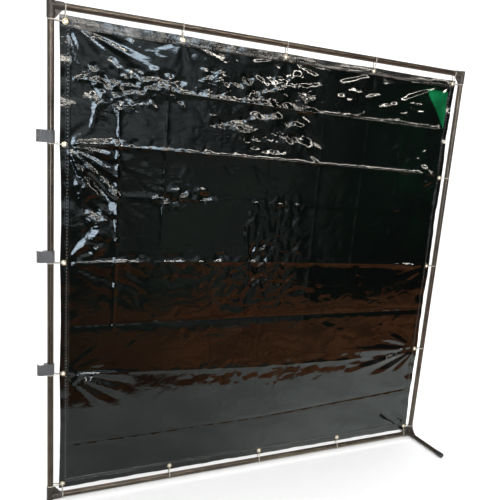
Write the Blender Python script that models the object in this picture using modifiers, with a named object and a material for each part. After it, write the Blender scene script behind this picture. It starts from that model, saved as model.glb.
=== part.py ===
"""A welding curtain screen: a 2 m square tube frame, a dark film curtain tied inside it, one pair of
cross legs under the right post and three clips on the left post that hold the next screen's post.

Metres. X runs along the screen, Y through it (the legs point to -Y and +Y), Z is up. The origin is
on the floor, under the middle of the screen.
"""

import math

import bmesh
import bpy

# Frame
FRAME_HEIGHT = 2.000  # over the ends of the corner joints
POST_SPACING = 1.970  # between the two posts' axes
TUBE_RADIUS = 0.0125
TUBE_WALL = 0.0012
GAP = 0.0003  # left between pieces that touch

# Corner and foot joints, measured from the point where their tubes' axes meet
SLEEVE_RADIUS = 0.0150
SLEEVE_LENGTH = 0.0450
BRANCH_RADIUS = 0.0148
BRANCH_START = 0.0020
BORE_RADIUS = TUBE_RADIUS + GAP
BORE_STOP = 0.0170  # a bar or leg butts here, clear of the post's bore
SLEEVE_FLOOR = 0.0025
SLEEVE_CHAMFER = 0.0012
WEB_REACH = 0.0400
WEB_THICKNESS = 0.0080

# Legs
LEG_REACH = 0.2650  # from the post's axis to the end of the cap
LEG_RADIUS = 0.0110
LEG_BORE_RADIUS = LEG_RADIUS + GAP
LEG_SOCKET_RADIUS = 0.0126
CAP_RADIUS = 0.0128
CAP_LENGTH = 0.0320
CAP_FLOOR = 0.0030
CAP_ROUND = 0.0025

# Curtain
EYELET_INSET = 0.0500  # from a tube's axis to the eyelets beside it
EYELETS_PER_SIDE = 5
EYELET_SHIFT = {"left": 0.040, "right": 0.0, "bottom": 0.013, "top": -0.021}  # of the three middle ones
UPPER_LEFT_DROP = 0.009  # the third one on the left sits lower than an even step
SHEET_INSET = 0.0350  # from a tube's axis to the sheet's edge
SHEET_THICKNESS = 0.0005
HOLE_RADIUS = 0.0072
EYELET_BORE_RADIUS = 0.0060
EYELET_BARREL_RADIUS = 0.0068
EYELET_RIM_RADIUS = 0.0115
EYELET_DEPTH = 0.0022  # from the sheet's middle to the crown of a rim

# Nylon ties: a strap drawn round a tube and through an eyelet
STRAP_WIDTH = 0.0036
STRAP_THICKNESS = 0.0012
STRAP_END_RADIUS = 0.0027
STRAP_END_REACH = 0.0423
LOCK_LENGTH = 0.0060
LOCK_WIDTH = 0.0050
LOCK_THICKNESS = 0.0034
LOCK_AT = 0.0240

# Clips that join this screen to the next one's post
CLIP_HEIGHT = 0.0460
CLIP_WALL = 0.0030
CLIP_PITCH = 0.0360  # between the two posts that it holds
CLIP_GRIP_OPENING = math.radians(80)
CRADLE_LIP_ANGLE = math.radians(168)
CRADLE_WEB_ANGLE = math.radians(38)
CLIP_REST = 0.0006  # a clip sits this far above the tie under it

SIDES = 24
EYELET_SIDES = 16

AXIS_LOW = SLEEVE_RADIUS
LEG_AXIS = CAP_RADIUS  # the caps rest on the floor
AXIS_HIGH = FRAME_HEIGHT - SLEEVE_RADIUS
AXIS_SPAN = AXIS_HIGH - AXIS_LOW
CLIP_OUTSIDE = BORE_RADIUS + CLIP_WALL
OVERALL_WIDTH = CLIP_PITCH + CLIP_OUTSIDE + POST_SPACING + SLEEVE_RADIUS
LEFT_X = -OVERALL_WIDTH / 2 + CLIP_PITCH + CLIP_OUTSIDE
RIGHT_X = LEFT_X + POST_SPACING


def clear_scene():
    for old in list(bpy.data.objects):
        bpy.data.objects.remove(old, do_unlink=True)


def new_collection(name):
    collection = bpy.data.collections.new(name)
    bpy.context.scene.collection.children.link(collection)
    return collection


def material(name, colour, roughness, metallic=0.0):
    shader_material = bpy.data.materials.new(name)
    shader_material.use_nodes = True
    shader = shader_material.node_tree.nodes["Principled BSDF"]
    shader.inputs["Base Color"].default_value = (*colour, 1.0)
    shader.inputs["Roughness"].default_value = roughness
    shader.inputs["Metallic"].default_value = metallic
    return shader_material


clear_scene()
SCREEN = new_collection("welding_curtain_screen")
HELPERS = new_collection("boolean_helpers")

BRONZE_TUBE = material("bronze_anodised_tube", (0.120, 0.100, 0.080), 0.35, 0.8)
JOINT_PLASTIC = material("dark_joint_plastic", (0.060, 0.052, 0.047), 0.50)
CAP_PLASTIC = material("dark_cap_plastic", (0.035, 0.030, 0.028), 0.50)
CLIP_PLASTIC = material("grey_clip_plastic", (0.150, 0.150, 0.155), 0.45)
DARK_FILM = material("dark_green_film", (0.004, 0.012, 0.008), 0.12)
BRASS = material("brass_eyelet", (0.560, 0.430, 0.220), 0.30, 1.0)
NYLON = material("natural_nylon", (0.700, 0.700, 0.650), 0.45)


def place(obj, name, coat, collection=SCREEN):
    """Gives an object its name, its material and its collection."""
    obj.name = name
    for owner in list(obj.users_collection):
        owner.objects.unlink(obj)
    collection.objects.link(obj)
    if coat:
        obj.data.materials.clear()
        obj.data.materials.append(coat)
    return obj


def make_helper(obj):
    """Hides a piece that only serves a Boolean."""
    place(obj, obj.name, None, HELPERS)
    obj.display_type = "WIRE"
    obj.hide_render = True
    return obj


def smooth(mesh):
    mesh.shade_smooth()
    mesh.set_sharp_from_angle(angle=math.radians(35))


def cylinder(axis, start, end, across, radius, fill="NGON"):
    """A round bar along an axis, from start to end on it, at across on the other two."""
    middle = list(across)
    middle.insert("XYZ".index(axis), (start + end) / 2)
    turn = {"X": (0, math.pi / 2, 0), "Y": (math.pi / 2, 0, 0), "Z": (0, 0, 0)}[axis]
    bpy.ops.mesh.primitive_cylinder_add(
        vertices=SIDES, radius=radius, depth=abs(end - start), end_fill_type=fill, location=middle, rotation=turn
    )
    obj = bpy.context.object
    smooth(obj.data)
    return obj


def combine(target, other, operation):
    boolean = target.modifiers.new(operation.lower(), "BOOLEAN")
    boolean.operation = operation
    boolean.solver = "EXACT"
    boolean.object = make_helper(other)


def chamfer(obj, width):
    bevel = obj.modifiers.new("chamfer", "BEVEL")
    bevel.width = width
    bevel.segments = 1
    bevel.limit_method = "ANGLE"
    bevel.angle_limit = math.radians(60)


def flat_outline(name, loops, thickness):
    """A 2D curve filled between its closed outlines and given a thickness along its own Z."""
    curve = bpy.data.curves.new(name, "CURVE")
    curve.dimensions = "2D"
    curve.fill_mode = "BOTH"
    curve.extrude = thickness / 2
    for points in loops:
        spline = curve.splines.new("POLY")
        spline.points.add(len(points) - 1)
        for point, (x, y) in zip(spline.points, points):
            point.co = (x, y, 0, 1)
        spline.use_cyclic_u = True
    obj = bpy.data.objects.new(name, curve)
    SCREEN.objects.link(obj)
    return obj


def to_mesh(obj):
    """Turns a curve object into a welded mesh object at the same place."""
    bpy.context.view_layer.update()
    evaluated = obj.evaluated_get(bpy.context.evaluated_depsgraph_get())
    mesh = bpy.data.meshes.new_from_object(evaluated)
    shape = bmesh.new()
    shape.from_mesh(mesh)
    bmesh.ops.remove_doubles(shape, verts=shape.verts, dist=0.00001)
    bmesh.ops.recalc_face_normals(shape, faces=shape.faces)
    shape.to_mesh(mesh)
    shape.free()
    result = bpy.data.objects.new(obj.name, mesh)
    result.matrix_world = obj.matrix_world
    SCREEN.objects.link(result)
    bpy.data.objects.remove(obj)
    return result


def arc(centre, radius, first, last, steps, outside=False):
    """Points along an arc. With outside, the straight runs between them touch the radius."""
    if outside:
        radius = radius / math.cos((last - first) / steps / 2)
    turn = (last - first) / steps
    return [
        (centre[0] + radius * math.cos(first + i * turn), centre[1] + radius * math.sin(first + i * turn))
        for i in range(steps + 1)
    ]


# Frame


def tube(name, axis, start, end, across, radius=TUBE_RADIUS):
    obj = place(cylinder(axis, start, end, across, radius, "NOTHING"), name, BRONZE_TUBE)
    wall = obj.modifiers.new("wall", "SOLIDIFY")
    wall.thickness = TUBE_WALL
    wall.offset = -1
    return obj


def web(plane, corner, toward_side, toward_up):
    """The three-cornered stiffener between a post sleeve and a branch. The plane is XZ or YZ."""
    root = SLEEVE_RADIUS / 3
    tip = SLEEVE_LENGTH - 0.0010
    outline = [
        (root, root),
        (WEB_REACH, root),
        (WEB_REACH, SLEEVE_RADIUS),
        (SLEEVE_RADIUS, tip),
        (root, tip),
    ]
    obj = flat_outline("web", [[(x * toward_side, z * toward_up) for x, z in outline]], WEB_THICKNESS)
    obj.location = corner
    obj.rotation_euler = (math.pi / 2, 0, 0 if plane == "XZ" else math.pi / 2)
    return to_mesh(obj)


def post_sleeve(x, z, up):
    """The joint's upright sleeve, closed at its outer end."""
    obj = cylinder("Z", z - up * SLEEVE_RADIUS, z + up * SLEEVE_LENGTH, (x, 0), SLEEVE_RADIUS)
    chamfer(obj, SLEEVE_CHAMFER)
    return obj


def corner_joint(name, x, z, inward, up, legs=False):
    """A plastic elbow for a post and a bar. With legs, it also has a front and a rear socket."""
    joint = place(post_sleeve(x, z, up), name, JOINT_PLASTIC)
    branches = [("X", x + inward * BRANCH_START, x + inward * SLEEVE_LENGTH, (0, z), BRANCH_RADIUS)]
    bores = [("X", x + inward * BORE_STOP, x + inward * (SLEEVE_LENGTH + 0.01), (0, z), BORE_RADIUS)]
    webs = [("XZ", inward, z)]
    if legs:
        socket = (x, LEG_AXIS)
        branches.append(("Y", -SLEEVE_LENGTH, SLEEVE_LENGTH, socket, LEG_SOCKET_RADIUS))
        bores.append(("Y", -SLEEVE_LENGTH - 0.01, -BORE_STOP, socket, LEG_BORE_RADIUS))
        bores.append(("Y", BORE_STOP, SLEEVE_LENGTH + 0.01, socket, LEG_BORE_RADIUS))
        webs += [("YZ", -1, LEG_AXIS), ("YZ", 1, LEG_AXIS)]
    for branch in branches:
        piece = cylinder(*branch)
        chamfer(piece, SLEEVE_CHAMFER)
        combine(joint, piece, "UNION")
    for plane, side, height in webs:
        combine(joint, web(plane, (x, 0, height), side, up), "UNION")
    post_bore_floor = z - up * (SLEEVE_RADIUS - SLEEVE_FLOOR)
    bores.append(("Z", post_bore_floor, z + up * (SLEEVE_LENGTH + 0.01), (x, 0), BORE_RADIUS))
    for bore in bores:
        combine(joint, cylinder(*bore), "DIFFERENCE")
    return joint


def leg_cap(name, side):
    """A push-on cup over a leg's end, turned about the leg's axis."""
    rim = 0.0
    floor_out = CAP_LENGTH
    profile = [
        (0, floor_out),
        (CAP_RADIUS - CAP_ROUND, floor_out),
        (CAP_RADIUS - CAP_ROUND * 0.3, floor_out - CAP_ROUND * 0.3),
        (CAP_RADIUS, floor_out - CAP_ROUND),
        (CAP_RADIUS, rim),
        (LEG_BORE_RADIUS, rim),
        (LEG_BORE_RADIUS, floor_out - CAP_FLOOR),
        (0, floor_out - CAP_FLOOR),
    ]
    obj = turned(name, profile, SIDES, CAP_PLASTIC)
    obj.location = (RIGHT_X, side * (LEG_REACH - CAP_LENGTH), LEG_AXIS)
    obj.rotation_euler = (-side * math.pi / 2, 0, 0)
    return obj


def turned(name, profile, steps, coat, closed=False):
    """A profile of (radius, height) points spun about Z."""
    mesh = bpy.data.meshes.new(name)
    shape = bmesh.new()
    corners = [shape.verts.new((radius, 0, height)) for radius, height in profile]
    for first, second in zip(corners, corners[1:] + corners[:1] if closed else corners[1:]):
        shape.edges.new((first, second))
    shape.to_mesh(mesh)
    shape.free()
    mesh.materials.append(coat)
    obj = bpy.data.objects.new(name, mesh)
    SCREEN.objects.link(obj)
    screw = obj.modifiers.new("turn", "SCREW")
    screw.steps = steps
    screw.render_steps = steps
    screw.use_merge_vertices = True
    screw.merge_threshold = 0.00001
    screw.use_smooth_shade = True
    return obj


def build_frame():
    post_end = SLEEVE_FLOOR + GAP
    for name, x in (("left_post", LEFT_X), ("right_post", RIGHT_X)):
        tube(name, "Z", post_end, FRAME_HEIGHT - post_end, (x, 0))
    bar_end = BORE_STOP + GAP
    for name, z in (("bottom_tube", AXIS_LOW), ("top_tube", AXIS_HIGH)):
        tube(name, "X", LEFT_X + bar_end, RIGHT_X - bar_end, (0, z))
    corner_joint("corner_joint_bottom_left", LEFT_X, AXIS_LOW, 1, 1)
    corner_joint("corner_joint_top_left", LEFT_X, AXIS_HIGH, 1, -1)
    corner_joint("corner_joint_top_right", RIGHT_X, AXIS_HIGH, -1, -1)
    corner_joint("foot_joint_bottom_right", RIGHT_X, AXIS_LOW, -1, 1, legs=True)
    leg_end = LEG_REACH - CAP_FLOOR - GAP
    for name, side in (("front", -1), ("rear", 1)):
        tube(f"{name}_leg", "Y", side * bar_end, side * leg_end, (RIGHT_X, LEG_AXIS), LEG_RADIUS)
        leg_cap(f"{name}_leg_cap", side)


# Curtain


def eyelet_places():
    """The eyelets' (name, x, z), once round the sheet, with the sides that each one is tied to."""
    step = (AXIS_SPAN - 2 * EYELET_INSET) / (EYELETS_PER_SIDE - 1)
    low_x, high_x = LEFT_X + EYELET_INSET, RIGHT_X - EYELET_INSET
    low_z, high_z = AXIS_LOW + EYELET_INSET, AXIS_HIGH - EYELET_INSET
    places = [
        ("top_left", low_x, high_z, ("left", "top")),
        ("top_right", high_x, high_z, ("right", "top")),
        ("bottom_left", low_x, low_z, ("left", "bottom")),
        ("bottom_right", high_x, low_z, ("right", "bottom")),
    ]
    for i in range(1, EYELETS_PER_SIDE - 1):
        for side, z in (("bottom", low_z), ("top", high_z)):
            places.append((f"{side}_{i}", low_x + i * step + EYELET_SHIFT[side], z, (side,)))
        for side, x in (("left", low_x), ("right", high_x)):
            drop = UPPER_LEFT_DROP if (side, i) == ("left", 3) else 0
            places.append((f"{side}_{i}", x, low_z + i * step + EYELET_SHIFT[side] - drop, (side,)))
    return places


def build_sheet(places):
    half = (AXIS_SPAN - 2 * SHEET_INSET) / 2
    middle_x = (LEFT_X + RIGHT_X) / 2
    middle_z = (AXIS_LOW + AXIS_HIGH) / 2
    edge = [(-half, -half), (half, -half), (half, half), (-half, half)]
    turn = 2 * math.pi * (1 - 1 / EYELET_SIDES)
    holes = [
        arc((x - middle_x, z - middle_z), HOLE_RADIUS, 0, turn, EYELET_SIDES - 1) for _, x, z, _ in places
    ]
    sheet = to_mesh(flat_outline("curtain_sheet", [edge, *holes], SHEET_THICKNESS))
    sheet.location = (middle_x, 0, middle_z)
    sheet.rotation_euler = (math.pi / 2, 0, 0)
    place(sheet, "curtain_sheet", DARK_FILM)


def build_eyelets(places):
    """Each is a rolled brass ring: a barrel through the sheet with a rim on each face."""
    under = SHEET_THICKNESS / 2 + GAP
    half = [
        (EYELET_BORE_RADIUS, EYELET_DEPTH * 0.6),
        (EYELET_BORE_RADIUS + 0.0012, EYELET_DEPTH),
        (EYELET_RIM_RADIUS - 0.0010, EYELET_DEPTH * 0.8),
        (EYELET_RIM_RADIUS, under),
        (EYELET_BARREL_RADIUS, under),
    ]
    profile = half + [(radius, -height) for radius, height in reversed(half)]
    first = None
    for name, x, z, _ in places:
        if first is None:
            first = turned("eyelet", profile, EYELET_SIDES, BRASS, closed=True)
            first = to_mesh(first)
            smooth(first.data)
        obj = bpy.data.objects.new(f"eyelet_{name}", first.data)
        SCREEN.objects.link(obj)
        obj.location = (x, 0, z)
        obj.rotation_euler = (math.pi / 2, 0, 0)
    bpy.data.objects.remove(first)


def strap_loop(extra):
    """The belt line round the tube, at the origin, and the eyelet's near edge, out along X."""
    round_tube = TUBE_RADIUS + GAP + extra
    round_end = STRAP_END_RADIUS + extra
    lean = math.asin((round_tube - round_end) / STRAP_END_REACH)
    open_angle = math.pi / 2 - lean
    behind_tube = arc((0, 0), round_tube, open_angle, 2 * math.pi - open_angle, 10, outside=True)
    through_eyelet = arc((STRAP_END_REACH, 0), round_end, -open_angle, open_angle, 5, outside=True)
    return behind_tube + through_eyelet, lean


def strap_lock(lean):
    """The tie's small square head, on the rear run of the strap."""
    bpy.ops.mesh.primitive_cube_add(size=1)
    lock = bpy.context.object
    lock.name = "lock"
    run = (TUBE_RADIUS + GAP) / math.cos(lean) - LOCK_AT * math.tan(lean)
    out = LOCK_THICKNESS / 2 - 0.0002
    lock.location = (LOCK_AT + out * math.sin(lean), run + out * math.cos(lean), 0)
    lock.rotation_euler = (0, 0, -lean)
    lock.scale = (LOCK_LENGTH, LOCK_THICKNESS, LOCK_WIDTH)
    return lock


def build_ties(places):
    """One tie for each eyelet and tube: a corner eyelet has two."""
    inner, lean = strap_loop(0)
    outer, _ = strap_loop(STRAP_THICKNESS)
    strap = to_mesh(flat_outline("strap", [outer, inner], STRAP_WIDTH))
    combine(strap, strap_lock(lean), "UNION")
    tie = to_mesh(strap)
    tie.data.materials.append(NYLON)
    sides = {
        "left": lambda x, z: ((LEFT_X, 0, z), (0, 0, 0)),
        "right": lambda x, z: ((RIGHT_X, 0, z), (math.pi, 0, math.pi)),
        "bottom": lambda x, z: ((x, 0, AXIS_LOW), (0, -math.pi / 2, 0)),
        "top": lambda x, z: ((x, 0, AXIS_HIGH), (0, math.pi / 2, 0)),
    }
    for name, x, z, tied_to in places:
        for side in tied_to:
            label = name if len(tied_to) == 1 else f"{name}_{'post' if side in ('left', 'right') else 'bar'}"
            obj = bpy.data.objects.new(f"tie_{label}", tie.data)
            SCREEN.objects.link(obj)
            obj.location, obj.rotation_euler = sides[side](x, z)
    bpy.data.objects.remove(tie)


# Clips


def clip_outline():
    """Seen from above: a grip round this post, at the origin, and an open cradle for the next one."""
    cradle = (-CLIP_PITCH, 0)
    opening = CLIP_GRIP_OPENING / 2
    rear = math.pi / 2
    outside = arc((0, 0), CLIP_OUTSIDE, rear - opening, -rear, 12)
    outside += arc(cradle, CLIP_OUTSIDE, -rear, CRADLE_LIP_ANGLE - 2 * math.pi, 8)
    cradle_wall = arc(cradle, BORE_RADIUS, CRADLE_LIP_ANGLE - 2 * math.pi, CRADLE_WEB_ANGLE, 14, outside=True)
    shoulder = [(CLIP_OUTSIDE * math.cos(rear + opening), CLIP_OUTSIDE * math.sin(rear + opening))]
    grip_wall = arc((0, 0), BORE_RADIUS, rear + opening, 2 * math.pi + rear - opening, 18, outside=True)
    return outside + cradle_wall + shoulder + grip_wall


def build_clips(places):
    """Each clip rests on the tie under it and swivels round the left post."""
    tie_heights = sorted(z for name, _, z, _ in places if name.startswith("left_"))
    for name, tie_z in zip(("lower_clip", "middle_clip", "upper_clip"), tie_heights):
        clip = to_mesh(flat_outline(name, [clip_outline()], CLIP_HEIGHT))
        place(clip, name, CLIP_PLASTIC)
        smooth(clip.data)
        clip.location = (LEFT_X, 0, tie_z + LOCK_WIDTH / 2 + CLIP_REST + CLIP_HEIGHT / 2)


def main():
    places = eyelet_places()
    build_frame()
    build_sheet(places)
    build_eyelets(places)
    build_ties(places)
    build_clips(places)


main()
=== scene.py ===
"""Welding curtain screen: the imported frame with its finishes, and the wrinkled glossy curtain stretched in it."""
import math

import bpy
import numpy as np
from mathutils import Euler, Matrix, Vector


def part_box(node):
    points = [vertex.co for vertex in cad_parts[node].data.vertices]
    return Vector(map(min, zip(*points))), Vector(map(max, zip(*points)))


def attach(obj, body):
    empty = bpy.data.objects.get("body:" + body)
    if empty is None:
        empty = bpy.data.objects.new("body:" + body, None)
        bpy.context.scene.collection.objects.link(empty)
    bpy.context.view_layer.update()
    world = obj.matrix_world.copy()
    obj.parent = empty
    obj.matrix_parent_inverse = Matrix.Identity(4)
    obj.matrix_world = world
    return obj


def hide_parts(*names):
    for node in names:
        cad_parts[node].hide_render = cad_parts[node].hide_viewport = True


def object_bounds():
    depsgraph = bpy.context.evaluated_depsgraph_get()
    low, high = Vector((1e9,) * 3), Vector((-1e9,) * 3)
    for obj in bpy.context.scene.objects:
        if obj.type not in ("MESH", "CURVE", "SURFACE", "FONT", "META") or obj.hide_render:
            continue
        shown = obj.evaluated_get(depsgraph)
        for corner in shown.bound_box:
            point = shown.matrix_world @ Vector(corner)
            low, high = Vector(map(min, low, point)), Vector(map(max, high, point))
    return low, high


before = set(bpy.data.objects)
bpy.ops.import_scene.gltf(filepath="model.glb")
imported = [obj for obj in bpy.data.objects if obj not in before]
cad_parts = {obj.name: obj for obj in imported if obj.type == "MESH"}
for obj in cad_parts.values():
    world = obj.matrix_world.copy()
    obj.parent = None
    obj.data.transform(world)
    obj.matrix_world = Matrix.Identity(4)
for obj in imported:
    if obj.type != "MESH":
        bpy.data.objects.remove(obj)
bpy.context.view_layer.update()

rng = np.random.default_rng(41)

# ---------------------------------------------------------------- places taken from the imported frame

NODES = sorted(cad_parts)


def middle(node):
    low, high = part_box(node)
    return (Vector(low) + Vector(high)) / 2


LEFT = middle("left_post").x
BOTTOM = middle("bottom_tube").z
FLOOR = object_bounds()[0][2]
SHEET_LOW, SHEET_HIGH = (Vector(corner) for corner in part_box("curtain_sheet"))
SHEET_WIDTH = SHEET_HIGH.x - SHEET_LOW.x
SHEET_HEIGHT = SHEET_HIGH.z - SHEET_LOW.z
EYELETS = [name for name in NODES if name.startswith("eyelet_")]
TIES = [name for name in NODES if name.startswith("tie_")]

scene = bpy.context.scene
scene.unit_settings.system = "METRIC"
scene.view_settings.view_transform = "Standard"


def nothing_selected():
    if bpy.context.mode != "OBJECT":
        bpy.ops.object.mode_set(mode="OBJECT")
    bpy.ops.object.select_all(action="DESELECT")


# ---------------------------------------------------------------- camera

camera_data = bpy.data.cameras.new("viewpoint")
camera_data.lens = 41.38
camera_data.sensor_width = 36.0
camera_data.shift_y = 0.0585
camera_data.clip_start = 0.05
camera_data.clip_end = 80.0
viewpoint = bpy.data.objects.new("viewpoint", camera_data)
scene.collection.objects.link(viewpoint)
viewpoint.location = (LEFT - 0.258, -2.3285, BOTTOM + 1.5055)
viewpoint.rotation_euler = Euler((math.radians(77.596), math.radians(-4.313), math.radians(-24.991)))
scene.camera = viewpoint

# ---------------------------------------------------------------- node helpers


def tree_of(holder):
    holder.use_nodes = True
    tree = holder.node_tree
    tree.nodes.clear()
    return tree


def put(tree, kind, values=None, **settings):
    """One node, with its settings, and the values or links of its inputs."""
    node = tree.nodes.new(kind)
    for key, value in settings.items():
        setattr(node, key, value)
    for key, value in (values or {}).items():
        if isinstance(value, bpy.types.NodeSocket):
            tree.links.new(value, node.inputs[key])
        else:
            node.inputs[key].default_value = value
    return node


def maths(tree, operation, first, second=0.0, third=0.0):
    return put(tree, "ShaderNodeMath", {0: first, 1: second, 2: third}, operation=operation).outputs[0]


def times(tree, first, second):
    return maths(tree, "MULTIPLY", first, second)


def plus(tree, first, second):
    return maths(tree, "ADD", first, second)


def minus(tree, first, second):
    return maths(tree, "SUBTRACT", first, second)


def smaller(tree, first, second):
    return maths(tree, "MINIMUM", first, second)


def distance(tree, value, centre):
    return maths(tree, "ABSOLUTE", minus(tree, value, centre))


def noise(tree, place, scale, detail=2.0, rough=0.5):
    values = {"Vector": place, "Scale": scale, "Detail": detail, "Roughness": rough}
    return put(tree, "ShaderNodeTexNoise", values).outputs["Fac"]


def spread(tree, value, low, high, to_low=0.0, to_high=1.0):
    """A value between low and high, taken smoothly to to_low and to_high."""
    values = {"Value": value, "From Min": low, "From Max": high, "To Min": to_low, "To Max": to_high}
    return put(tree, "ShaderNodeMapRange", values, interpolation_type="SMOOTHSTEP").outputs["Result"]


def blended(tree, share, first, second):
    node = tree.nodes.new("ShaderNodeMix")
    node.data_type = "RGBA"
    for socket, value in ((node.inputs[0], share), (node.inputs[6], first), (node.inputs[7], second)):
        if isinstance(value, bpy.types.NodeSocket):
            tree.links.new(value, socket)
        else:
            socket.default_value = value
    return node.outputs[2]


def stretched(tree, place, size, turn=(0.0, 0.0, 0.0)):
    return put(tree, "ShaderNodeMapping", {"Vector": place, "Scale": size, "Rotation": turn}).outputs[0]


def group_of(name, inputs, outputs):
    """A shader node group with float or vector inputs; outputs are floats."""
    group = bpy.data.node_groups.new(name, "ShaderNodeTree")
    for label, kind, value in inputs:
        socket = group.interface.new_socket(label, in_out="INPUT", socket_type=kind)
        if value is not None:
            socket.default_value = value
    for label in outputs:
        group.interface.new_socket(label, in_out="OUTPUT", socket_type="NodeSocketFloat")
    return group, group.nodes.new("NodeGroupInput"), group.nodes.new("NodeGroupOutput")


def grain_group():
    """Handling marks and moulding grain: cloud for slow colour change, speck for dust, relief for the fine skin."""
    group, given, result = group_of(
        "moulded_skin",
        [
            ("Place", "NodeSocketVector", None),
            ("Grain", "NodeSocketFloat", 900.0),
            ("Cloud", "NodeSocketFloat", 14.0),
        ],
        ["Cloud", "Speck", "Relief"],
    )
    place = given.outputs["Place"]
    clouds = noise(group, place, given.outputs["Cloud"], 5.0, 0.62)
    fine = noise(group, place, given.outputs["Grain"], 2.0, 0.7)
    specks = put(group, "ShaderNodeTexVoronoi", {"Vector": place, "Scale": 240.0, "Randomness": 1.0})
    group.links.new(clouds, result.inputs["Cloud"])
    group.links.new(spread(group, specks.outputs["Distance"], 0.10, 0.17, 1.0, 0.0), result.inputs["Speck"])
    group.links.new(fine, result.inputs["Relief"])
    return group


MOULDED_SKIN = grain_group()


def skin(tree, grain, cloud):
    """Object coordinates, and the cloud, specks and relief of the moulded skin there."""
    place = put(tree, "ShaderNodeTexCoord").outputs["Object"]
    node = put(tree, "ShaderNodeGroup", node_tree=MOULDED_SKIN)
    tree.links.new(place, node.inputs["Place"])
    node.inputs["Grain"].default_value = grain
    node.inputs["Cloud"].default_value = cloud
    return place, node.outputs["Cloud"], node.outputs["Speck"], node.outputs["Relief"]


def finish_of(name, metallic=0.0, ior=1.5):
    material = bpy.data.materials.new(name)
    tree = tree_of(material)
    shader = put(tree, "ShaderNodeBsdfPrincipled", {"Metallic": metallic, "IOR": ior})
    out = put(tree, "ShaderNodeOutputMaterial")
    tree.links.new(shader.outputs[0], out.inputs[0])
    return material, tree, shader


def rough_by(tree, shader, value, low, high):
    tree.links.new(spread(tree, value, 0.25, 0.75, low, high), shader.inputs["Roughness"])


def relief(tree, shader, height, strength, depth):
    bump = put(tree, "ShaderNodeBump", {"Height": height, "Strength": strength, "Distance": depth})
    tree.links.new(bump.outputs[0], shader.inputs["Normal"])


# ---------------------------------------------------------------- finishes of the frame


def bronze_anodised(name, along, lit_share):
    """Anodised aluminium tube: drawn lines along it, soft brown clouds, small pale rubs, and painted shade that
    darkens the copy for the legs.
    """
    material, tree, shader = finish_of(name, metallic=0.9, ior=1.45)
    place, cloud, speck, _ = skin(tree, 700.0, 9.0)
    squeeze = {"x": (1.2, 420.0, 420.0), "y": (420.0, 1.2, 420.0), "z": (420.0, 420.0, 1.2)}[along]
    drawn = noise(tree, stretched(tree, place, squeeze), 1.0, 3.0, 0.6)
    brown = blended(tree, spread(tree, cloud, 0.3, 0.7), (0.060, 0.044, 0.033, 1), (0.100, 0.078, 0.060, 1))
    brown = blended(tree, times(tree, spread(tree, drawn, 0.45, 0.75), 0.45), brown, (0.19, 0.155, 0.125, 1))
    brown = blended(tree, times(tree, speck, 0.12), brown, (0.34, 0.31, 0.27, 1))
    # Painted shade: the colour is taken towards near black by the share that isn't kept lit.
    brown = blended(tree, 1 - lit_share, brown, (0.004, 0.003, 0.002, 1))
    tree.links.new(brown, shader.inputs["Base Color"])
    rough_by(tree, shader, drawn, 0.30, 0.46)
    relief(tree, shader, drawn, 0.25, 0.0002)
    return material


def moulded_plastic(name, dark, light, roughness, dust=0.15):
    """Moulded plastic: slow clouds between a dark and a light tone, pale dust specks, fine moulding grain."""
    material, tree, shader = finish_of(name, ior=1.42)
    _, cloud, speck, fine = skin(tree, 900.0, 22.0)
    tone = blended(tree, spread(tree, cloud, 0.3, 0.72), dark, light)
    tone = blended(tree, times(tree, speck, dust), tone, (0.42, 0.40, 0.37, 1))
    tree.links.new(tone, shader.inputs["Base Color"])
    rough_by(tree, shader, cloud, roughness[0], roughness[1])
    relief(tree, shader, fine, 0.5, 0.00025)
    return material


def rolled_brass():
    """Pressed brass eyelets: slow tone clouds, a fine relief and a slightly dulled face."""
    material, tree, shader = finish_of("rolled_brass", metallic=0.85, ior=1.5)
    _, cloud, _, fine = skin(tree, 1500.0, 90.0)
    tone = blended(tree, spread(tree, cloud, 0.3, 0.7), (0.36, 0.26, 0.14, 1), (0.62, 0.50, 0.33, 1))
    tree.links.new(tone, shader.inputs["Base Color"])
    rough_by(tree, shader, cloud, 0.22, 0.40)
    relief(tree, shader, fine, 0.3, 0.0001)
    return material


def nylon_strap():
    """Natural nylon ties: milky, with the fine cross teeth of the strap."""
    material, tree, shader = finish_of("nylon_strap", ior=1.53)
    shader.inputs["Subsurface Weight"].default_value = 0.25
    shader.inputs["Subsurface Radius"].default_value = (0.004, 0.004, 0.003)
    place, cloud, _, _ = skin(tree, 1200.0, 60.0)
    tone = blended(tree, spread(tree, cloud, 0.3, 0.7), (0.30, 0.275, 0.235, 1), (0.46, 0.43, 0.38, 1))
    tree.links.new(tone, shader.inputs["Base Color"])
    rough_by(tree, shader, cloud, 0.35, 0.5)
    strap = {"Vector": place, "Scale": 260.0, "Distortion": 0.4}
    teeth = put(tree, "ShaderNodeTexWave", strap, bands_direction="DIAGONAL").outputs["Fac"]
    relief(tree, shader, teeth, 0.35, 0.0003)
    return material


# The two legs, along y, get a copy of the frame's finish darkened with painted shade.
TUBE_LIT_SHARE = {"x": 1.0, "y": 0.5, "z": 1.0}
TUBE_ALONG = {axis: bronze_anodised("bronze_anodised_" + axis, axis, lit_share) for axis, lit_share in TUBE_LIT_SHARE.items()}
JOINT = moulded_plastic(
    "joint_plastic_grained", (0.022, 0.0165, 0.0130, 1), (0.040, 0.031, 0.025, 1), (0.38, 0.55)
)
CAP = moulded_plastic(
    "cap_plastic_black", (0.009, 0.008, 0.007, 1), (0.020, 0.017, 0.015, 1), (0.34, 0.50), dust=0.2
)
CLIP = moulded_plastic(
    "clip_plastic_grey", (0.060, 0.060, 0.062, 1), (0.095, 0.094, 0.097, 1), (0.42, 0.58)
)
BRASS = rolled_brass()
NYLON = nylon_strap()


def finish_node(node, material):
    for slot in bpy.data.objects[node].material_slots:
        slot.material = material


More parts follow.
